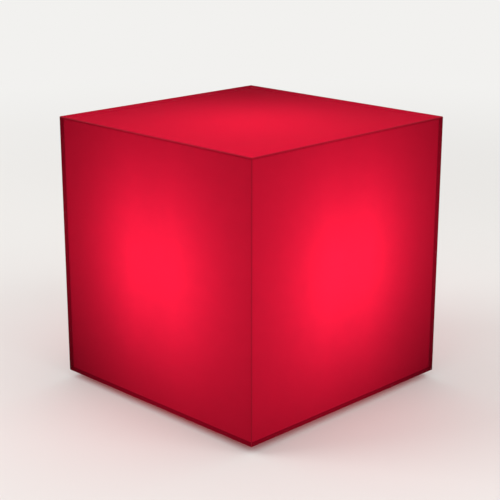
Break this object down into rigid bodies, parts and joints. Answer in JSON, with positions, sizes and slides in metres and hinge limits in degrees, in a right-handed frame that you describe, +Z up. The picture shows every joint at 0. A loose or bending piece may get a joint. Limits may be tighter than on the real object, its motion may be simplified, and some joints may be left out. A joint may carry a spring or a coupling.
{
  "type": "led cube light",
  "caption": "Cube-shaped garden light: a closed opal acrylic cube that glows red, on rubber feet, with a sealed light module, power button and charging socket in its base.",
  "frame": {"origin": "on the ground, under the centre of the cube", "axes": "+Z up; -Y is the front, the left one of the two upright faces that the picture shows, and +X is the right one"},
  "size_m": [0.3, 0.3, 0.308],
  "materials": {
    "opal_acrylic": "opal cast acrylic, lit red from inside",
    "foot_rubber": "matt black",
    "housing_plastic": "moulded, fine texture",
    "seal_rubber": "smooth black",
    "ring_plastic": "natural white",
    "brass": "turned",
    "stainless_steel": "plain",
    "aluminium": "stamped",
    "thermal_pad": "soft grey",
    "white_board": "white solder mask",
    "light_package": "white case, yellow window",
    "black_plastic": "moulded",
    "clear_plastic": "clear polycarbonate",
    "battery_sleeve": "shrink sleeve",
    "nickel": "nickel plated",
    "green_board": "green solder mask",
    "component_plastic": "moulded",
    "button_plastic": "moulded, satin",
    "jack_plastic": "moulded",
    "cap_rubber": "soft silicone",
    "lead_sleeve": "extruded"
  },
  "bodies": {
    "light": {"back_panel": "opal_acrylic", "backing_ring": "ring_plastic", "base_panel": "opal_acrylic", "battery_cells": "battery_sleeve", "battery_contacts": "nickel", "battery_holder": "black_plastic", "battery_leads": "lead_sleeve", "board_components": "component_plastic", "button_seal": "seal_rubber", "cable_grommet": "seal_rubber", "cap_anchor": "cap_rubber", "charging_jack": "jack_plastic", "control_board": "green_board", "control_board_screws": "stainless_steel", "cover_screws": "stainless_steel", "cover_seal": "seal_rubber", "front_panel": "opal_acrylic", "heat_spreader": "aluminium", "holder_screws": "stainless_steel", "infrared_receiver": "black_plastic", "jack_leads": "lead_sleeve", "jack_nut": "nickel", "led_packages": "light_package", "left_panel": "opal_acrylic", "light_board": "white_board", "light_board_screws": "stainless_steel", "light_cover": "clear_plastic", "light_leads": "lead_sleeve", "module_gasket": "seal_rubber", "module_housing": "housing_plastic", "module_screws": "stainless_steel", "right_panel": "opal_acrylic", "rubber_feet": "foot_rubber", "status_light_pipe": "clear_plastic", "switch_body": "black_plastic", "thermal_pad": "thermal_pad", "threaded_inserts": "brass", "top_panel": "opal_acrylic"},
    "button": {"power_button": "button_plastic", "switch_plunger": "black_plastic"},
    "cap": {"jack_cap": "cap_rubber"}
  },
  "joints": [
    {"name": "button_press", "type": "slide", "parent": "light", "child": "button", "axis": [0, 0, 1], "range_m": [0, 0.0012], "stiffness_N_per_m": 1200, "springref_m": -0.0006},
    {"name": "cap_hinge", "type": "hinge", "parent": "light", "child": "cap", "pos_m": [0.01708, -0.033, 0.0026], "axis": [-1, 0, 0], "range_deg": [0, 110], "stiffness_Nm_per_rad": 0.002, "springref_deg": -11.46}
  ]
}
